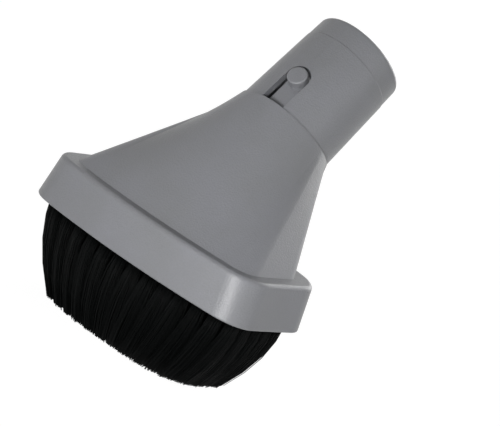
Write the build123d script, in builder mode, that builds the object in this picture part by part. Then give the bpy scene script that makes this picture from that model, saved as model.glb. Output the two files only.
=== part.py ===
"""Vacuum dusting brush: a moulded head with a slanted tapered neck, a spring latch and a ring of tufts.

The brush stands on its bristle tips at z = 0, its long side along X and its neck leaning back along +Y.
"""

import os
from math import cos, pi, radians, sin, tan

from build123d import *

# Rim of the head, outside sizes at its lower edge
RIM_LENGTH = 88.2
RIM_WIDTH = 50.6
RIM_HEIGHT = 14.8
RIM_CORNER = 11.0
RIM_BOW = 5.2
RIM_DRAFT_LENGTH = 2.1
RIM_DRAFT_WIDTH = 0.4
RIM_ROUND = 1.5
LIP_ROUND = 0.5
WALL = 2.2
SEAT_STEP = 1.2

# Funnel between the rim's ledge and the shoulder, which lies tilted across the neck
FUNNEL_LENGTH = 74.0
FUNNEL_WIDTH = 37.0
FUNNEL_CORNER = 7.0
FUNNEL_BOW = 3.4
FUNNEL_SHIFT = -1.0
SHOULDER_STEP = 0.4
SHOULDER_TILT = 5.0

# Tapered neck, measured along its axis from where the axis crosses the ledge
NECK_LEAN = 37.0
NECK_RADIUS = 17.1
NECK_WALL = 2.4
NECK_FOOT = 3.3
SHOULDER_AT = 40.0
LEAD_IN_AT = 69.6
LEAD_IN_RADIUS = 16.2
LEAD_IN_STEP = 0.15
NECK_END_AT = 77.7
END_RADIUS = 15.8
END_ROUND = 1.6

# Spring latch in the neck's front, with heights measured out from the neck's axis
BUTTON_AT = 51.8
BUTTON_RADIUS = 3.3
BUTTON_TOP = 17.6
BUTTON_ROUND = 0.6
ARM_FACE = 14.4
ARM_WIDTH = 5.8
ARM_THICKNESS = 1.5
ARM_HEAD_RADIUS = 3.5
PIVOT_AT = 36.5
PIVOT_RADIUS = 1.25
PRESS_ANGLE = 6.0
SLOT_GAP = 1.3
BUTTON_GAP = 0.9
PIVOT_PLAY = 0.06
ARM_PLAY = 0.25
SEAT_CHEEK = 1.4
SEAT_FLOOR = 0.9

# Bristle frame, tufts and their anchors
BRISTLE_REACH = 27.0
FRAME_RECESS = 1.0
FRAME_THICKNESS = 6.0
FRAME_BAND = 8.5
MOUTH_CORNER = 6.0
FRAME_PLAY = 0.15
LUG_LENGTH = 5.0
LUG_HEIGHT = 0.8
LUG_REACH = 0.7
LUG_ROOT = 0.6
TUFT_COUNT = 34
TUFT_INSET = 3.1
HOLE_RADIUS = 2.2
HOLE_DEPTH = 5.4
HOLE_PLAY = 0.05
ANCHOR_WIDTH = 3.4
ANCHOR_HEIGHT = 0.9
ANCHOR_THICKNESS = 0.5
TUFT_COLLAR = 0.4
STRAND_RADIUS = 0.58
STRAND_SIDES = 4
RING_COUNTS = (4, 8)
BUNDLE_RADIUS = 1.6
BUNDLE_TIP_RADIUS = 1.7
TIP_LENGTH = 64.0
TIP_WIDTH = 35.0
TIP_CORNER = 10.0
TIP_BOW = 5.2
TIP_SWEEP = 2.0
TIP_RISE = 2.6

# Levels and places worked out from the sizes above
rim_z = BRISTLE_REACH
frame_z = rim_z + FRAME_RECESS
seat_z = frame_z + FRAME_THICKNESS
ledge_z = rim_z + RIM_HEIGHT
lean = radians(NECK_LEAN)
along_neck = Vector(0, sin(lean), cos(lean))
out_front = Vector(0, -cos(lean), sin(lean))
end_reach = (NECK_END_AT - END_ROUND) * sin(lean) + (END_RADIUS - END_ROUND) * cos(lean) + END_ROUND
head_y = (RIM_WIDTH / 2 - NECK_FOOT - end_reach) / 2
neck_foot = Vector(0, head_y + NECK_FOOT, ledge_z)
neck_bore = NECK_RADIUS - NECK_WALL
end_bore = END_RADIUS - NECK_WALL

neck_plane = Plane(origin=neck_foot, x_dir=(1, 0, 0), z_dir=along_neck)
latch_plane = Plane(origin=neck_foot, x_dir=(1, 0, 0), z_dir=out_front)
neck_axis = Axis(neck_foot, along_neck)
section_plane = Plane(origin=neck_foot, x_dir=along_neck, z_dir=(1, 0, 0))

arm_run = BUTTON_AT - PIVOT_AT
pivot_rise = ARM_FACE - ARM_THICKNESS / 2
arm_room = ARM_WIDTH + 2 * ARM_PLAY
channel = ARM_THICKNESS / 2 + ARM_PLAY
seat_back = PIVOT_AT - PIVOT_RADIUS - SEAT_FLOOR
seat_bottom = pivot_rise - PIVOT_RADIUS - SEAT_FLOOR
lug_depth = LUG_REACH + LUG_ROOT


def head_plane(z, shift=0.0):
    """Returns a level plane over the head's centre, shifted along Y."""
    return Plane(origin=(0, head_y + shift, z))


def bowed_outline(plane, length, width, corner, bow):
    """Returns a sketch of a rounded rectangle with bowed long sides."""
    half, side = length / 2, width / 2 - bow
    with BuildSketch(plane) as outline:
        with BuildLine():
            ThreePointArc((-half, -side), (0, -width / 2), (half, -side))
            Line((half, -side), (half, side))
            ThreePointArc((half, side), (0, width / 2), (-half, side))
            Line((-half, side), (-half, -side))
        make_face()
        fillet(outline.vertices(), corner)
    return outline.sketch


def rim_outline(z, inset):
    """Returns the rim's outline at height z, moved inwards by the inset."""
    share = (z - rim_z) / RIM_HEIGHT
    length = RIM_LENGTH - 2 * (inset + RIM_DRAFT_LENGTH * share)
    width = RIM_WIDTH - 2 * (inset + RIM_DRAFT_WIDTH * share)
    return bowed_outline(head_plane(z), length, width, RIM_CORNER - inset, RIM_BOW)


def funnel_foot(z, inset):
    """Returns the funnel's outline at height z near its foot, moved inwards by the inset."""
    plane = head_plane(z, FUNNEL_SHIFT + (z - ledge_z) * tan(lean))
    length, width = FUNNEL_LENGTH - 2 * inset, FUNNEL_WIDTH - 2 * inset
    return bowed_outline(plane, length, width, FUNNEL_CORNER - inset, FUNNEL_BOW)


def shoulder_circle():
    """Returns the funnel's upper end: a circle tilted across the neck, lowest at the front."""
    tilt = radians(SHOULDER_TILT)
    radius = NECK_RADIUS + SHOULDER_STEP
    front = neck_foot + along_neck * SHOULDER_AT + out_front * radius
    slope = out_front * cos(tilt) - along_neck * sin(tilt)
    plane = Plane(origin=front - slope * radius, x_dir=(1, 0, 0), z_dir=slope.cross(Vector(1, 0, 0)))
    with BuildSketch(plane) as ring:
        Circle(radius)
    return ring.sketch


def neck_circle(at, radius):
    """Returns a circle across the neck's axis."""
    with BuildSketch(neck_plane.offset(at)) as ring:
        Circle(radius)
    return ring.sketch


def arm_point(run, offset, press):
    """Returns a point of the latch arm in the section plane, with the button pressed by an angle."""
    angle = -radians(press)
    return (
        PIVOT_AT + run * cos(angle) - offset * sin(angle),
        pivot_rise + run * sin(angle) + offset * cos(angle),
    )


def even_points(line):
    """Returns a point for each tuft, spaced evenly round a closed line from the middle of its front."""
    box = line.bounding_box()
    start = line.param_at_point(Vector(0, box.min.Y, box.min.Z))
    return [line.position_at((start + (number + 0.5) / TUFT_COUNT) % 1) for number in range(TUFT_COUNT)]


def bundle(radius):
    """Returns the steps from a tuft's middle to its strands, in two rings within a radius."""
    steps = []
    for ring, count in enumerate(RING_COUNTS, start=1):
        reach = radius * (ring - 0.5) / (len(RING_COUNTS) - 0.5)
        for turn in range(count):
            angle = 2 * pi * (turn + 0.5) / count
            steps.append(Vector(reach * cos(angle), reach * sin(angle)))
    return steps


def strand(start, end):
    """Returns one strand, a many-sided rod with level ends."""
    run = end - start
    return extrude(Pos(start) * strand_foot.sketch, amount=run.length, dir=run, mode=Mode.PRIVATE)


# Foot of a strand, a level polygon
with BuildSketch(Plane(origin=(0, 0, 0), z_dir=(0, 0, -1))) as strand_foot:
    RegularPolygon(STRAND_RADIUS, STRAND_SIDES)

# Tuft mouths: planes on the frame's lower face, facing down
tuft_line = rim_outline(frame_z, WALL + FRAME_PLAY + TUFT_INSET).face().outer_wire()
tuft_mouths = [Plane(origin=point, z_dir=(0, 0, -1)) for point in even_points(tuft_line)]

# Tuft tips: on a smaller outline at the floor, swept a little to one side and raised at both ends
tip_line = bowed_outline(head_plane(0), TIP_LENGTH, TIP_WIDTH, TIP_CORNER, TIP_BOW).face().outer_wire()
tuft_tips = []
for point in even_points(tip_line):
    tuft_tips.append(point + Vector(TIP_SWEEP, 0, TIP_RISE * abs(2 * point.X / TIP_LENGTH) ** 4))

# Moulded housing: rim, ledge, funnel, shoulder and neck in one piece
with BuildPart() as housing:
    loft([rim_outline(rim_z, 0), rim_outline(ledge_z, 0)])
    fillet(edges().group_by(Axis.Z)[-1], RIM_ROUND)
    fillet(edges().group_by(Axis.Z)[0], LIP_ROUND)
    loft([funnel_foot(ledge_z, 0), shoulder_circle()])
    with BuildSketch(section_plane):
        with BuildLine():
            Polyline(
                (SHOULDER_AT - NECK_RADIUS, 0),
                (SHOULDER_AT - NECK_WALL, neck_bore),
                (SHOULDER_AT, NECK_RADIUS),
                (LEAD_IN_AT, LEAD_IN_RADIUS),
                (LEAD_IN_AT + 2 * LEAD_IN_STEP, LEAD_IN_RADIUS - LEAD_IN_STEP),
                (NECK_END_AT, END_RADIUS),
                (NECK_END_AT, 0),
                close=True,
            )
        make_face()
    revolve(axis=neck_axis)
    fillet(edges().filter_by(GeomType.CIRCLE).sort_by(neck_axis)[-1], END_ROUND)

    # Pocket for the bristle frame, and the narrower hollow above its seat
    loft([rim_outline(rim_z, WALL), rim_outline(seat_z, WALL)], mode=Mode.SUBTRACT)
    hollow_inset = WALL + SEAT_STEP
    loft([rim_outline(seat_z, hollow_inset), rim_outline(ledge_z - WALL, hollow_inset)], mode=Mode.SUBTRACT)

    # Air passage through the funnel and the neck
    loft([funnel_foot(ledge_z - WALL, WALL), neck_circle(SHOULDER_AT, neck_bore)], mode=Mode.SUBTRACT)
    loft([neck_circle(SHOULDER_AT, neck_bore), neck_circle(NECK_END_AT, end_bore)], mode=Mode.SUBTRACT)

    # Seat for the latch's root under the shoulder, with room for the arm to be pressed in
    with BuildSketch(section_plane):
        with Locations((seat_back, seat_bottom)):
            seat_height = neck_bore + NECK_WALL / 2 - seat_bottom
            Rectangle(SHOULDER_AT - seat_back, seat_height, align=(Align.MIN, Align.MIN))
    extrude(amount=arm_room / 2 + SEAT_CHEEK, both=True)
    with BuildSketch(section_plane):
        with Locations((PIVOT_AT, pivot_rise)):
            Circle(PIVOT_RADIUS + PIVOT_PLAY)
        with BuildLine():
            Polyline(
                arm_point(0, channel, 0),
                arm_point(arm_run, channel, 0),
                arm_point(arm_run, -channel, PRESS_ANGLE),
                arm_point(0, -channel, PRESS_ANGLE),
                close=True,
            )
        make_face()
    extrude(amount=arm_room / 2, both=True, mode=Mode.SUBTRACT)

    # Keyhole in the neck's front for the arm and the button
    with BuildSketch(latch_plane.offset(neck_bore - NECK_WALL)):
        with Locations((0, SHOULDER_AT)):
            Rectangle(ARM_WIDTH + 2 * SLOT_GAP, BUTTON_AT - SHOULDER_AT, align=(Align.CENTER, Align.MIN))
        with Locations((0, BUTTON_AT)):
            Circle(BUTTON_RADIUS + BUTTON_GAP)
    extrude(amount=3 * NECK_WALL, mode=Mode.SUBTRACT)

    # Lugs that the bristle frame snaps past
    with Locations(head_plane(frame_z - LUG_HEIGHT)):
        with GridLocations(RIM_LENGTH - 2 * WALL - lug_depth + 2 * LUG_ROOT, 0, 2, 1):
            Box(lug_depth, LUG_LENGTH, LUG_HEIGHT, align=(Align.CENTER, Align.CENTER, Align.MIN))
        with GridLocations(0, RIM_WIDTH - 2 * WALL - lug_depth + 2 * LUG_ROOT, 1, 2):
            Box(LUG_LENGTH, lug_depth, LUG_HEIGHT, align=(Align.CENTER, Align.CENTER, Align.MIN))

# Spring latch: a root bead, an arm along the neck and the round button on its end
with BuildPart() as latch:
    with BuildSketch(section_plane):
        with Locations((PIVOT_AT, pivot_rise)):
            Circle(PIVOT_RADIUS)
        with BuildLine():
            Polyline(
                arm_point(0, ARM_THICKNESS / 2, 0),
                arm_point(arm_run, ARM_THICKNESS / 2, 0),
                arm_point(arm_run, -ARM_THICKNESS / 2, 0),
                arm_point(0, -ARM_THICKNESS / 2, 0),
                close=True,
            )
        make_face()
    extrude(amount=ARM_WIDTH / 2, both=True)
    with BuildSketch(latch_plane.offset(ARM_FACE - ARM_THICKNESS)):
        with Locations((0, BUTTON_AT)):
            Circle(ARM_HEAD_RADIUS)
    extrude(amount=ARM_THICKNESS)
    with BuildSketch(latch_plane.offset(pivot_rise)):
        with Locations((0, BUTTON_AT)):
            Circle(BUTTON_RADIUS)
    extrude(amount=BUTTON_TOP - pivot_rise)
    fillet(edges().filter_by(GeomType.CIRCLE).sort_by(Axis(neck_foot, out_front))[-1], BUTTON_ROUND)

# Bristle frame: a flat ring in the rim's pocket with a blind hole for each tuft
with BuildPart() as bristle_frame:
    frame_inset = WALL + FRAME_PLAY
    loft([rim_outline(frame_z, frame_inset), rim_outline(seat_z, frame_inset)])
    extrude(
        bowed_outline(
            head_plane(frame_z),
            RIM_LENGTH - 2 * (frame_inset + FRAME_BAND),
            RIM_WIDTH - 2 * (frame_inset + FRAME_BAND),
            MOUTH_CORNER,
            RIM_BOW,
        ),
        amount=FRAME_THICKNESS,
        mode=Mode.SUBTRACT,
    )
    with Locations(*tuft_mouths):
        Hole(HOLE_RADIUS, HOLE_DEPTH)

# Anchors: flat wire staples that hold the tufts at the bottom of their holes
with BuildPart() as tuft_anchors:
    with Locations(*[mouth.offset(-HOLE_DEPTH) for mouth in tuft_mouths]):
        Box(ANCHOR_WIDTH, ANCHOR_THICKNESS, ANCHOR_HEIGHT, align=(Align.CENTER, Align.CENTER, Align.MIN))

pieces = {"housing": housing, "latch": latch, "bristle_frame": bristle_frame, "tuft_anchors": tuft_anchors}

# Tufts: a bundle of strands that leaves its hole, spreads and is trimmed flat at the floor
for number, (mouth, tip) in enumerate(zip(tuft_mouths, tuft_tips), start=1):
    with BuildPart() as tuft:
        with BuildSketch(mouth.offset(ANCHOR_HEIGHT - HOLE_DEPTH)):
            Circle(HOLE_RADIUS - HOLE_PLAY)
        extrude(amount=HOLE_DEPTH - ANCHOR_HEIGHT + TUFT_COLLAR)
        start = mouth.offset(HOLE_PLAY).origin
        steps = zip(bundle(BUNDLE_RADIUS), bundle(BUNDLE_TIP_RADIUS))
        add([strand(start + low, tip + high) for low, high in steps])
    pieces[f"tuft_{number:02d}"] = tuft

os.makedirs("parts", exist_ok=True)
for name, piece in pieces.items():
    piece.part.label = name
    export_step(piece.part, f"parts/{name}.step")
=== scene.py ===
"""Looks of a vacuum dusting brush: grey moulded plastic, black bristle filaments, a plain white studio."""

import logging
import math
import random
from dataclasses import dataclass, field
from enum import Enum

import bpy
import numpy as np
from mathutils import Matrix, Vector


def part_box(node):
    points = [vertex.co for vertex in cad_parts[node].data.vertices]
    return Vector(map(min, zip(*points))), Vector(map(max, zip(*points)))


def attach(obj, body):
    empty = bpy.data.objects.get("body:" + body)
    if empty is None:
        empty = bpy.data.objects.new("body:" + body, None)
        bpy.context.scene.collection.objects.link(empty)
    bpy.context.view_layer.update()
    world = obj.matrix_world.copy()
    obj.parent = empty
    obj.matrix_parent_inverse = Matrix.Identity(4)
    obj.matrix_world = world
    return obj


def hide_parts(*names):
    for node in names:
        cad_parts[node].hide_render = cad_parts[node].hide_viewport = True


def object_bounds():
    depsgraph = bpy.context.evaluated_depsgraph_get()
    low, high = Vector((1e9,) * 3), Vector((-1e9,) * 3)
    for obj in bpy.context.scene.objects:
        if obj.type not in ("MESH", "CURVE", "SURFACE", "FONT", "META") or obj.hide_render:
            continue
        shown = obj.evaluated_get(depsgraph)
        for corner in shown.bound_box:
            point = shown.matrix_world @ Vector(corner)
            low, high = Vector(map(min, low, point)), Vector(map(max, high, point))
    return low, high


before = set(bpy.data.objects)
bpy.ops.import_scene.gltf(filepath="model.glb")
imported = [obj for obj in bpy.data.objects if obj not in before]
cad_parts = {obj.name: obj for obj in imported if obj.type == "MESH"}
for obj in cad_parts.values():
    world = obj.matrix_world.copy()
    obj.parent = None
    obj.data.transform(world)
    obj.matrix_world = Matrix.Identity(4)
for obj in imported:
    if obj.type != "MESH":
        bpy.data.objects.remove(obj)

LOG = logging.getLogger("dusting_brush")
CAD_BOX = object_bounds()
MM = 0.001
TUFT_PREFIX = "tuft_"

# Turn from one filament to the next that spreads them evenly over a round bundle
GOLDEN_ANGLE = math.pi * (3 - math.sqrt(5))

# Height at mid length of the arch share * (1 - share)
ARCH_PEAK = 0.25

# Sockets of a Mix node in colour mode, which share their names with its other modes
COLOUR_A, COLOUR_B, COLOUR_RESULT = 6, 7, 2

# Lowest and highest noise values between which a pattern goes from one end to the other
DRIFT_SPAN = (0.35, 0.65)
GRIT_SPAN = (0.3, 0.7)

# How often a drawn line's pattern repeats along Z, as a share of how often it does across
DRAWN_REPEAT = 0.04
DRIFT_DETAIL = 3.0
GRIT_DETAIL = 2.0
RELIEF_STRENGTH = 0.6


def hex_colour(code: str) -> tuple[float, float, float, float]:
    """Turns an sRGB hex colour into linear values.

    Args:
        code: Six hex digits, with or without a leading mark.

    Returns:
        Linear red, green and blue with an alpha of one.
    """
    digits = code.lstrip("#")
    linear = []
    for start in (0, 2, 4):
        value = int(digits[start:start + 2], 16) / 255
        linear.append(value / 12.92 if value <= 0.04045 else ((value + 0.055) / 1.055) ** 2.4)
    return (*linear, 1.0)


def add_node(
    tree: bpy.types.NodeTree, kind: str, values: dict[str | int, object] | None = None, **settings: object
) -> bpy.types.Node:
    """Adds a node with its settings, its socket values and its links.

    Args:
        tree: The node tree that gets the node.
        kind: The node's type name.
        values: Input sockets by name or number, each with a value or with the output socket that feeds it.
        settings: Properties of the node itself.

    Returns:
        The new node.
    """
    node = tree.nodes.new(kind)
    for name, value in settings.items():
        setattr(node, name, value)
    for socket, value in (values or {}).items():
        if isinstance(value, bpy.types.NodeSocket):
            tree.links.new(value, node.inputs[socket])
        else:
            node.inputs[socket].default_value = value
    return node


def deselect_all() -> None:
    """Leaves no object selected, so that an operator acts on new pieces only."""
    bpy.ops.object.select_all(action="DESELECT")


class Grain(Enum):
    """How a surface was made, which sets the pattern of its fine relief."""

    MOULDED = "even in every direction, as the wall of a mould leaves it"
    DRAWN = "fine lines along a drawn filament or wire"


@dataclass(frozen=True)
class Finish:
    """One real material and how its surface looks."""

    name: str
    colour: str
    drift_colour: str
    grain: Grain
    grain_mm: float
    relief_mm: float
    roughness: float
    roughness_spread: float
    ior: float = 1.5
    specular_level: float = 0.5
    metallic: float = 0.0
    drift_mm: float = 30.0
    speckle: float = 0.0

    def build(self) -> bpy.types.Material:
        """Makes the material.

        Returns:
            A node material on Object coordinates, with its pattern sizes in real millimetres.
        """
        material = bpy.data.materials.new(self.name)
        material.use_nodes = True
        tree = material.node_tree
        tree.nodes.clear()
        place = add_node(tree, "ShaderNodeTexCoord").outputs["Object"]
        if self.grain is Grain.DRAWN:
            drawn = add_node(tree, "ShaderNodeMapping", {"Vector": place, "Scale": (1, 1, DRAWN_REPEAT)})
            place = drawn.outputs["Vector"]
        drift = add_node(
            tree,
            "ShaderNodeTexNoise",
            {"Vector": place, "Scale": 1 / (self.drift_mm * MM), "Detail": DRIFT_DETAIL},
        )
        grit = add_node(
            tree,
            "ShaderNodeTexNoise",
            {"Vector": place, "Scale": 1 / (self.grain_mm * MM), "Detail": GRIT_DETAIL},
        )
        share = add_node(
            tree,
            "ShaderNodeMapRange",
            {"Value": drift.outputs["Fac"], "From Min": DRIFT_SPAN[0], "From Max": DRIFT_SPAN[1]},
        )
        base = add_node(
            tree,
            "ShaderNodeMix",
            {
                "Factor": share.outputs["Result"],
                COLOUR_A: hex_colour(self.colour),
                COLOUR_B: hex_colour(self.drift_colour),
            },
            data_type="RGBA",
        )
        flecks = add_node(
            tree,
            "ShaderNodeMapRange",
            {
                "Value": grit.outputs["Fac"],
                "From Min": GRIT_SPAN[0],
                "From Max": GRIT_SPAN[1],
                "To Min": 1 - self.speckle,
                "To Max": 1 + self.speckle,
            },
        )
        speckled = add_node(
            tree,
            "ShaderNodeVectorMath",
            {0: base.outputs[COLOUR_RESULT], "Scale": flecks.outputs["Result"]},
            operation="SCALE",
        )
        gloss = add_node(
            tree,
            "ShaderNodeMapRange",
            {
                "Value": grit.outputs["Fac"],
                "From Min": GRIT_SPAN[0],
                "From Max": GRIT_SPAN[1],
                "To Min": self.roughness - self.roughness_spread,
                "To Max": self.roughness + self.roughness_spread,
            },
        )
        relief = add_node(
            tree,
            "ShaderNodeBump",
            {
                "Height": grit.outputs["Fac"],
                "Strength": RELIEF_STRENGTH,
                "Distance": self.relief_mm * MM,
            },
        )
        shader = add_node(
            tree,
            "ShaderNodeBsdfPrincipled",
            {
                "Base Color": speckled.outputs["Vector"],
                "Roughness": gloss.outputs["Result"],
                "Normal": relief.outputs["Normal"],
                "IOR": self.ior,
                "Specular IOR Level": self.specular_level,
                "Metallic": self.metallic,
            },
        )
        add_node(tree, "ShaderNodeOutputMaterial", {"Surface": shader.outputs["BSDF"]})
        return material


# ABS from a spark-eroded mould: an even satin grey with a fine sparkle where light glances off it.
# Its real pits are about 0.1 mm wide, too fine to show, so they are drawn wider, and deeper to match
GREY_ABS = Finish(
    name="grey_eroded_abs",
    colour="#7D7E83",
    drift_colour="#78797C",
    grain=Grain.MOULDED,
    grain_mm=0.5,
    relief_mm=0.2,
    roughness=0.37,
    roughness_spread=0.07,
    speckle=0.03,
)

# Black polypropylene moulding: dull and dark, seen only between the bristles
BLACK_POLYPROPYLENE = Finish(
    name="black_polypropylene",
    colour="#141415",
    drift_colour="#101011",
    grain=Grain.MOULDED,
    grain_mm=1.2,
    relief_mm=0.02,
    roughness=0.55,
    roughness_spread=0.05,
)

# Black nylon filament, drawn: so dull that the mass of it reads as one black.
# Its real draw lines are far finer than a filament, and are drawn wider so that they show
BLACK_NYLON = Finish(
    name="black_nylon_filament",
    colour="#050606",
    drift_colour="#030404",
    grain=Grain.DRAWN,
    grain_mm=0.5,
    relief_mm=0.01,
    roughness=0.5,
    roughness_spread=0.08,
    ior=1.53,
    specular_level=0.04,
    drift_mm=8.0,
)

# Drawn steel wire of the tuft anchors, bright with fine lines along it, hidden in their holes.
# Its real draw lines are finer too, and are drawn wider so that they show
DRAWN_STEEL = Finish(
    name="drawn_steel_wire",
    colour="#A9A9A6",
    drift_colour="#9A9A97",
    grain=Grain.DRAWN,
    grain_mm=0.4,
    relief_mm=0.01,
    roughness=0.35,
    roughness_spread=0.05,
    metallic=1.0,
)


@dataclass
class Moulding:
    """A piece whose solid is already right and which only gets its finish."""

    node: str
    finish: Finish

    def dress(self) -> bpy.types.Object:
        """Gives the piece its finish.

        Returns:
            The dressed object.
        """
        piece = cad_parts[self.node]
        piece.data.materials.clear()
        piece.data.materials.append(self.finish.build())
        return piece


@dataclass
class BristleRing:
    """The bristle tufts, made of single filaments that are fewer and thicker than the real ones."""

    finish: Finish
    filaments: int = 200
    filament_radius_mm: float = 0.19
    tip_radius_mm: float = 0.11
    sides: int = 5
    cuts: int = 3
    fan_along_mm: float = 1.6
    fan_across_mm: float = -0.5
    splay_mm: float = 2.2
    belly_mm: float = 2.4
    gather: float = 0.095
    gather_at_mm: float = -2.8
    trim_level: float = 0.35
    sunk_mm: float = 0.3
    trim_spread_mm: float = 0.7
    wander_mm: float = 0.28
    turn_jitter: float = 0.2
    slice_mm: float = 0.2
    seed: int = 7
    chance: random.Random = field(init=False)

    def __post_init__(self) -> None:
        """Starts the ring's own repeatable chance."""
        self.chance = random.Random(self.seed)

    def model_filament(self) -> tuple[np.ndarray, list[list[int]]]:
        """Models one straight filament of unit length, thick at its root at height 0 and thin at its tip.

        Returns:
            Its vertices, with heights from 0 to 1 and widths in metres, and its faces.
        """
        length = 1.0
        deselect_all()
        bpy.ops.mesh.primitive_cone_add(
            vertices=self.sides,
            radius1=self.filament_radius_mm * MM,
            radius2=self.tip_radius_mm * MM,
            depth=length,
            location=(0, 0, length / 2),
            end_fill_type="NGON",
        )
        hair = bpy.context.object
        bpy.ops.object.transform_apply(location=True, rotation=True, scale=True)
        bpy.ops.object.mode_set(mode="EDIT")
        bpy.ops.mesh.select_mode(type="EDGE")
        bpy.ops.mesh.select_all(action="DESELECT")
        bpy.ops.object.mode_set(mode="OBJECT")
        for edge in hair.data.edges:
            low, high = (hair.data.vertices[index].co.z for index in edge.vertices)
            edge.select = abs(high - low) > length / 2
        bpy.ops.object.mode_set(mode="EDIT")
        bpy.ops.mesh.subdivide(number_cuts=self.cuts)
        bpy.ops.object.mode_set(mode="OBJECT")
        points = np.array([vertex.co[:] for vertex in hair.data.vertices])
        faces = [list(face.vertices) for face in hair.data.polygons]
        bpy.data.objects.remove(hair)
        return points, faces

    def ends_of(self, node: str) -> tuple[np.ndarray, np.ndarray, float]:
        """Reads where a tuft starts and ends from its solid.

        Args:
            node: The tuft's node.

        Returns:
            The middle of its root at the hole's mouth, the middle of its trimmed end, and its root's radius.
        """
        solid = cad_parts[node].data
        points = np.array([vertex.co[:] for vertex in solid.vertices])
        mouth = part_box("bristle_frame")[0].z
        root = points[points[:, 2] > mouth + self.slice_mm * MM]
        end = points[points[:, 2] < points[:, 2].min() + self.slice_mm * MM]
        middle = (root.min(0) + root.max(0)) / 2
        radius = float(root[:, 0].max() - root[:, 0].min()) / 2
        tip = (end.min(0) + end.max(0)) / 2
        middle[2], tip[2] = mouth, points[:, 2].min()
        return middle, tip, radius

    def bundle(
        self, node: str, hair: np.ndarray, faces: list[list[int]]
    ) -> tuple[np.ndarray, list[list[int]]]:
        """Lays copies of the filament along a tuft, spread towards its end.

        Args:
            node: The tuft's node.
            hair: The straight filament's vertices.
            faces: The straight filament's faces.

        Returns:
            The tuft's vertices and faces.
        """
        root, tip, radius = self.ends_of(node)
        low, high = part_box("bristle_frame")
        centre = np.array([(low.x + high.x) / 2, (low.y + high.y) / 2, root[2]])
        outward = (root - centre) / np.linalg.norm(root - centre)
        along = np.array([-outward[1], outward[0], 0.0])
        tip[0] -= self.gather * (tip[0] - centre[0] - self.gather_at_mm * MM)
        tip[2] *= self.trim_level
        share = hair[:, 2:3]
        all_points, all_faces = [], []
        for number in range(self.filaments):
            reach = math.sqrt((number + 0.5) / self.filaments)
            turn = number * GOLDEN_ANGLE + self.chance.uniform(-self.turn_jitter, self.turn_jitter)
            row, depth = reach * math.cos(turn), reach * math.sin(turn)
            stray = np.array([self.chance.gauss(0, 1), self.chance.gauss(0, 1), 0.0]) * self.wander_mm * MM
            start = root + (along * row + outward * depth) * (radius - self.filament_radius_mm * MM)
            start[2] += self.sunk_mm * MM
            end = tip + along * row * (radius + self.fan_along_mm * MM)
            end += outward * depth * (radius + self.fan_across_mm * MM) + stray
            end[2] += self.chance.random() ** 2 * self.trim_spread_mm * MM
            bow = along * row * self.splay_mm * MM + outward * self.belly_mm * MM / ARCH_PEAK
            line = start + (end - start) * share + bow * share * (1 - share)
            line[:, :2] += hair[:, :2]
            all_points.append(line)
            all_faces += [[index + number * len(hair) for index in face] for face in faces]
        return np.concatenate(all_points), all_faces

    def build(self) -> list[bpy.types.Object]:
        """Makes a piece of filaments for every tuft.

        Returns:
            The pieces, each standing for its tuft's solid.
        """
        material = self.finish.build()
        hair, faces = self.model_filament()
        pieces = []
        tufts = (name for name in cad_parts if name.removeprefix(TUFT_PREFIX).isdigit())
        for node in sorted(tufts):
            points, sides = self.bundle(node, hair, faces)
            mesh = bpy.data.meshes.new(f"{node}_filaments")
            mesh.from_pydata(points.tolist(), [], sides)
            mesh.materials.append(material)
            mesh.polygons.foreach_set("use_smooth", [True] * len(mesh.polygons))
            piece = bpy.data.objects.new(f"{node}_filaments", mesh)
            bpy.context.scene.collection.objects.link(piece)
            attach(piece, "brush")
            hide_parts(node)
            pieces.append(piece)
        return pieces


@dataclass
class Lamp:
    """A square soft lamp aimed at the head, in degrees, metres and watts."""

    name: str
    azimuth: float
    elevation: float
    distance: float
    size: float
    power: float

    def place(self, target: Vector) -> None:
        """Sets the lamp up.

        Args:
            target: The point that it shines at.
        """
        turn, rise = math.radians(self.azimuth), math.radians(self.elevation)
        way = Vector((math.sin(turn) * math.cos(rise), -math.cos(turn) * math.cos(rise), math.sin(rise)))
        light = bpy.data.lights.new(self.name, "AREA")
        light.size = self.size
        light.energy = self.power
        lamp = bpy.data.objects.new(self.name, light)
        bpy.context.scene.collection.objects.link(lamp)
        lamp.location = target + way * self.distance
        lamp.rotation_euler = way.to_track_quat("Z", "Y").to_euler()


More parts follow.
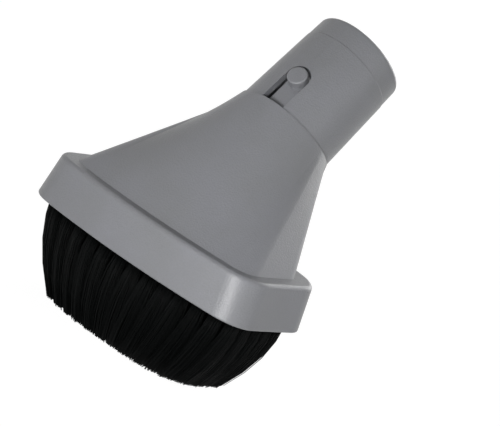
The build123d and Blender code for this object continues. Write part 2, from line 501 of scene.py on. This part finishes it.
@dataclass
class Studio:
    """White floor, soft lamps and the camera at the photograph's angle."""

    floor_radius: float = 6.0
    floor_sides: int = 96
    floor_gap_mm: float = 0.05
    floor_colour: str = "#F4F4F2"
    floor_white: float = 0.85
    floor_glow: float = 1.14
    ledge_mm: float = 41.8
    camera_azimuth: float = 30.75
    camera_elevation: float = 13.02
    camera_distance: float = 1.1109
    camera_roll: float = 26.36
    camera_pan: float = -0.98
    camera_tilt: float = 0.09
    camera_reach: float = 50.0
    focal_pixels: float = 3632.0
    image_width: int = 500
    sensor_mm: float = 36.0
    ambient: float = 0.06
    lamps: tuple[Lamp, ...] = (
        Lamp("flash_lamp", 25.0, 4.0, 0.5, 0.1, 2.35),
        Lamp("right_lamp", 95.0, 30.0, 1.4, 0.9, 1.6),
        Lamp("left_lamp", -75.0, 35.0, 1.4, 0.9, 0.7),
        Lamp("back_lamp", 180.0, 20.0, 1.4, 0.9, 7.5),
    )

    def head_centre(self) -> Vector:
        """Finds the point of the head that the camera and the lamps are set out from.

        Returns:
            The middle of the bristle frame, raised to the level of the ledge.
        """
        low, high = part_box("bristle_frame")
        return Vector(((low.x + high.x) / 2, (low.y + high.y) / 2, self.ledge_mm * MM))

    def shown_rays(self, tree: bpy.types.NodeTree) -> bpy.types.NodeSocket:
        """Tells the rays that show a backdrop from those that only carry its light.

        Args:
            tree: The node tree of the floor or the world.

        Returns:
            A value that is one on camera, mirrored and refracted rays, and zero on the rest.
        """
        rays = add_node(tree, "ShaderNodeLightPath").outputs
        seen = add_node(
            tree, "ShaderNodeMath", {0: rays["Is Camera Ray"], 1: rays["Is Glossy Ray"]}, operation="MAXIMUM"
        )
        shown = add_node(
            tree, "ShaderNodeMath", {0: seen.outputs[0], 1: rays["Is Transmission Ray"]}, operation="MAXIMUM"
        )
        return shown.outputs[0]

    def build_floor(self) -> None:
        """Lays a white floor that keeps a faint shadow."""
        deselect_all()
        bpy.ops.mesh.primitive_circle_add(
            vertices=self.floor_sides,
            radius=self.floor_radius,
            fill_type="NGON",
            location=(0, 0, CAD_BOX[0][2] - self.floor_gap_mm * MM),
        )
        floor = bpy.context.object
        floor.name = "studio_floor"
        bpy.ops.object.transform_apply(location=True, rotation=True, scale=True)
        material = bpy.data.materials.new("white_floor")
        material.use_nodes = True
        tree = material.node_tree
        tree.nodes.clear()
        share = add_node(
            tree, "ShaderNodeMath", {0: self.shown_rays(tree), 1: self.floor_white}, operation="MULTIPLY"
        )
        matte = add_node(tree, "ShaderNodeBsdfDiffuse", {"Color": hex_colour(self.floor_colour)})
        white = add_node(tree, "ShaderNodeEmission", {"Color": (1, 1, 1, 1), "Strength": self.floor_glow})
        mixed = add_node(
            tree,
            "ShaderNodeMixShader",
            {0: share.outputs[0], 1: matte.outputs[0], 2: white.outputs[0]},
        )
        add_node(tree, "ShaderNodeOutputMaterial", {"Surface": mixed.outputs[0]})
        floor.data.materials.append(material)

    def build_world(self) -> None:
        """Sets a plain ambient light that the camera sees as white."""
        world = bpy.data.worlds.new("white_studio")
        bpy.context.scene.world = world
        world.use_nodes = True
        tree = world.node_tree
        tree.nodes.clear()
        level = add_node(
            tree,
            "ShaderNodeMapRange",
            {"Value": self.shown_rays(tree), "To Min": self.ambient, "To Max": 1.0},
        )
        back = add_node(
            tree, "ShaderNodeBackground", {"Color": (1, 1, 1, 1), "Strength": level.outputs["Result"]}
        )
        add_node(tree, "ShaderNodeOutputWorld", {"Surface": back.outputs[0]})

    def build_camera(self) -> None:
        """Sets the camera up where the photograph was taken from."""
        turn, rise = math.radians(self.camera_azimuth), math.radians(self.camera_elevation)
        back = Vector((math.sin(turn) * math.cos(rise), -math.cos(turn) * math.cos(rise), math.sin(rise)))
        right = Vector((math.cos(turn), math.sin(turn), 0.0))
        up = back.cross(right)
        aim = (
            Matrix.Rotation(math.radians(self.camera_roll), 3, back)
            @ Matrix.Rotation(math.radians(self.camera_tilt), 3, right)
            @ Matrix.Rotation(math.radians(self.camera_pan), 3, up)
        )
        columns = [aim @ axis for axis in (right, up, back)]
        camera = bpy.data.cameras.new("photo_camera")
        camera.sensor_width = self.sensor_mm
        camera.sensor_fit = "HORIZONTAL"
        camera.lens = self.focal_pixels / self.image_width * self.sensor_mm
        camera.clip_end = self.camera_reach
        seat = bpy.data.objects.new("photo_camera", camera)
        bpy.context.scene.collection.objects.link(seat)
        place = self.head_centre() + back * self.camera_distance
        seat.matrix_world = Matrix.Translation(place) @ Matrix(columns).transposed().to_4x4()
        bpy.context.scene.camera = seat

    def build(self) -> None:
        """Sets up the floor, the lights, the world and the camera."""
        self.build_floor()
        self.build_world()
        for lamp in self.lamps:
            lamp.place(self.head_centre())
        self.build_camera()
        bpy.context.scene.view_settings.view_transform = "Standard"


def main() -> None:
    """Builds and dresses the brush, then the studio round it."""
    logging.basicConfig(level=logging.INFO)
    for moulding in (
        Moulding("housing", GREY_ABS),
        Moulding("latch", GREY_ABS),
        Moulding("bristle_frame", BLACK_POLYPROPYLENE),
        Moulding("tuft_anchors", DRAWN_STEEL),
    ):
        LOG.info("dressed %s", moulding.dress().name)
    for piece in BristleRing(BLACK_NYLON).build():
        LOG.info("built %s with %d faces", piece.name, len(piece.data.polygons))
    Studio().build()


if __name__ == "__main__":
    main()
